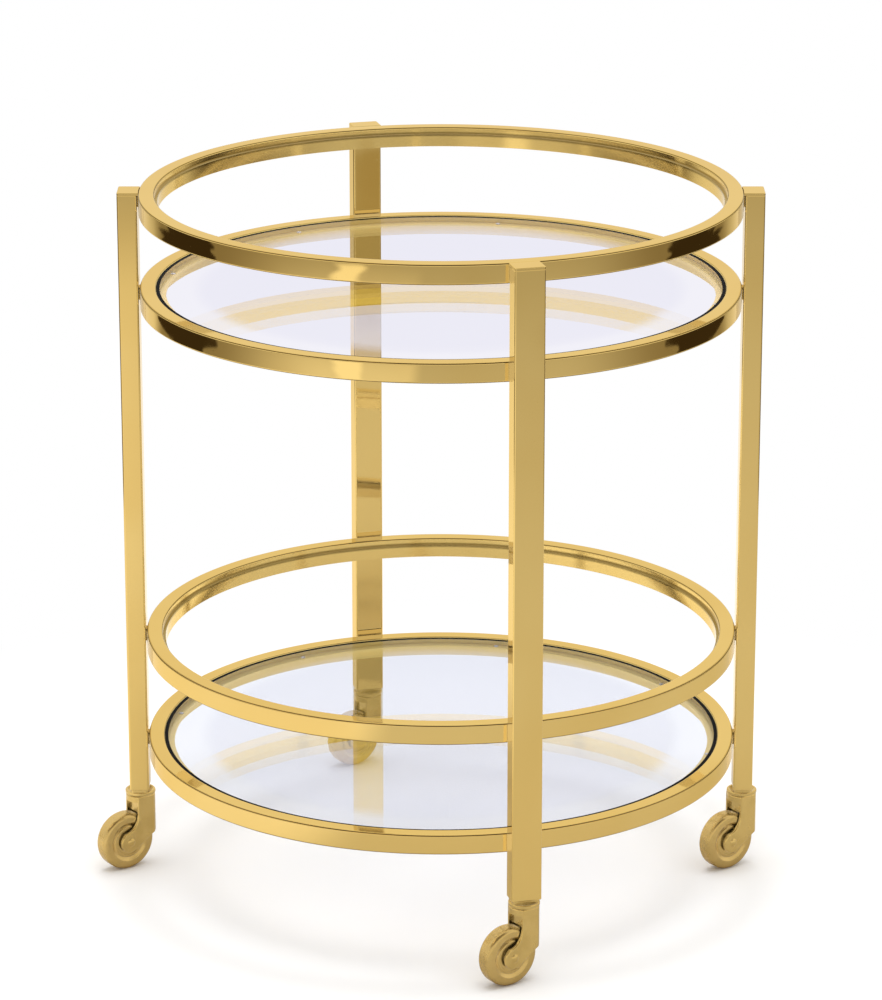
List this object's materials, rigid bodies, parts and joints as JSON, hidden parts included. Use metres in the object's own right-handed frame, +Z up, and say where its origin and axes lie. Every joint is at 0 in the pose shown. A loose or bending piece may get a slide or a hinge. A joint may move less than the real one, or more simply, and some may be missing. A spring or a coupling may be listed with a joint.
{
  "type": "bar cart",
  "caption": "Round two-tier bar cart: polished gold rings and flat tube legs carry clear glass shelves inside guard rails, rolling on swivel casters.",
  "frame": {"origin": "on the floor under the common axis of the rings", "axes": "+Z up; the two wide gaps between the legs face -Y (front) and +Y (back), the two narrow gaps face -X and +X"},
  "size_m": [0.6, 0.6, 0.717],
  "materials": {
    "gold_plate": "polished gold plating over steel tube",
    "caster_gold": "polished brass, lacquered",
    "wheel_gold": "gold lacquer, glossy",
    "shelf_glass": "clear, polished edge",
    "clear_pad": "clear soft vinyl",
    "pivot_steel": "zinc plated",
    "socket_plastic": "moulded nylon",
    "bush_plastic": "moulded acetal"
  },
  "bodies": {
    "frame": {"top_rail_ring": "gold_plate", "top_rail_weld_pads": "gold_plate", "upper_shelf_ring": "gold_plate", "upper_shelf_weld_pads": "gold_plate", "lower_rail_ring": "gold_plate", "lower_rail_weld_pads": "gold_plate", "lower_shelf_ring": "gold_plate", "lower_shelf_weld_pads": "gold_plate", "upper_shelf_ledge": "gold_plate", "upper_shelf_pads": "clear_pad", "upper_shelf_glass": "shelf_glass", "lower_shelf_ledge": "gold_plate", "lower_shelf_pads": "clear_pad", "lower_shelf_glass": "shelf_glass", "leg_back_right": "gold_plate", "leg_cap_back_right": "gold_plate", "stem_socket_back_right": "socket_plastic", "caster_stem_back_right": "pivot_steel", "caster_collar_back_right": "caster_gold", "leg_back_left": "gold_plate", "leg_cap_back_left": "gold_plate", "stem_socket_back_left": "socket_plastic", "caster_stem_back_left": "pivot_steel", "caster_collar_back_left": "caster_gold", "leg_front_left": "gold_plate", "leg_cap_front_left": "gold_plate", "stem_socket_front_left": "socket_plastic", "caster_stem_front_left": "pivot_steel", "caster_collar_front_left": "caster_gold", "leg_front_right": "gold_plate", "leg_cap_front_right": "gold_plate", "stem_socket_front_right": "socket_plastic", "caster_stem_front_right": "pivot_steel", "caster_collar_front_right": "caster_gold"},
    "caster_back_right": {"caster_fork_back_right": "caster_gold", "wheel_axle_back_right": "caster_gold"},
    "wheel_back_right": {"wheel_bush_back_right": "bush_plastic", "wheel_hub_back_right": "wheel_gold", "wheel_tread_back_right": "wheel_gold"},
    "caster_back_left": {"caster_fork_back_left": "caster_gold", "wheel_axle_back_left": "caster_gold"},
    "wheel_back_left": {"wheel_bush_back_left": "bush_plastic", "wheel_hub_back_left": "wheel_gold", "wheel_tread_back_left": "wheel_gold"},
    "caster_front_left": {"caster_fork_front_left": "caster_gold", "wheel_axle_front_left": "caster_gold"},
    "wheel_front_left": {"wheel_bush_front_left": "bush_plastic", "wheel_hub_front_left": "wheel_gold", "wheel_tread_front_left": "wheel_gold"},
    "caster_front_right": {"caster_fork_front_right": "caster_gold", "wheel_axle_front_right": "caster_gold"},
    "wheel_front_right": {"wheel_bush_front_right": "bush_plastic", "wheel_hub_front_right": "wheel_gold", "wheel_tread_front_right": "wheel_gold"}
  },
  "joints": [
    {"name": "swivel_back_right", "type": "hinge", "parent": "frame", "child": "caster_back_right", "pos_m": [0.24673, 0.18932, 0.0713], "axis": [0, 0, 1], "continuous": true},
    {"name": "roll_back_right", "type": "hinge", "parent": "caster_back_right", "child": "wheel_back_right", "pos_m": [0.24089, 0.1702, 0.03], "axis": [0.9563, -0.2924, 0], "continuous": true},
    {"name": "swivel_back_left", "type": "hinge", "parent": "frame", "child": "caster_back_left", "pos_m": [-0.24673, 0.18932, 0.0713], "axis": [0, 0, 1], "continuous": true},
    {"name": "roll_back_left", "type": "hinge", "parent": "caster_back_left", "child": "wheel_back_left", "pos_m": [-0.25258, 0.1702, 0.03], "axis": [0.9563, -0.2924, 0], "continuous": true},
    {"name": "swivel_front_left", "type": "hinge", "parent": "frame", "child": "caster_front_left", "pos_m": [-0.24673, -0.18932, 0.0713], "axis": [0, 0, 1], "continuous": true},
    {"name": "roll_front_left", "type": "hinge", "parent": "caster_front_left", "child": "wheel_front_left", "pos_m": [-0.25258, -0.20845, 0.03], "axis": [0.9563, -0.2924, 0], "continuous": true},
    {"name": "swivel_front_right", "type": "hinge", "parent": "frame", "child": "caster_front_right", "pos_m": [0.24673, -0.18932, 0.0713], "axis": [0, 0, 1], "continuous": true},
    {"name": "roll_front_right", "type": "hinge", "parent": "caster_front_right", "child": "wheel_front_right", "pos_m": [0.24089, -0.20845, 0.03], "axis": [0.9563, -0.2924, 0], "continuous": true}
  ]
}
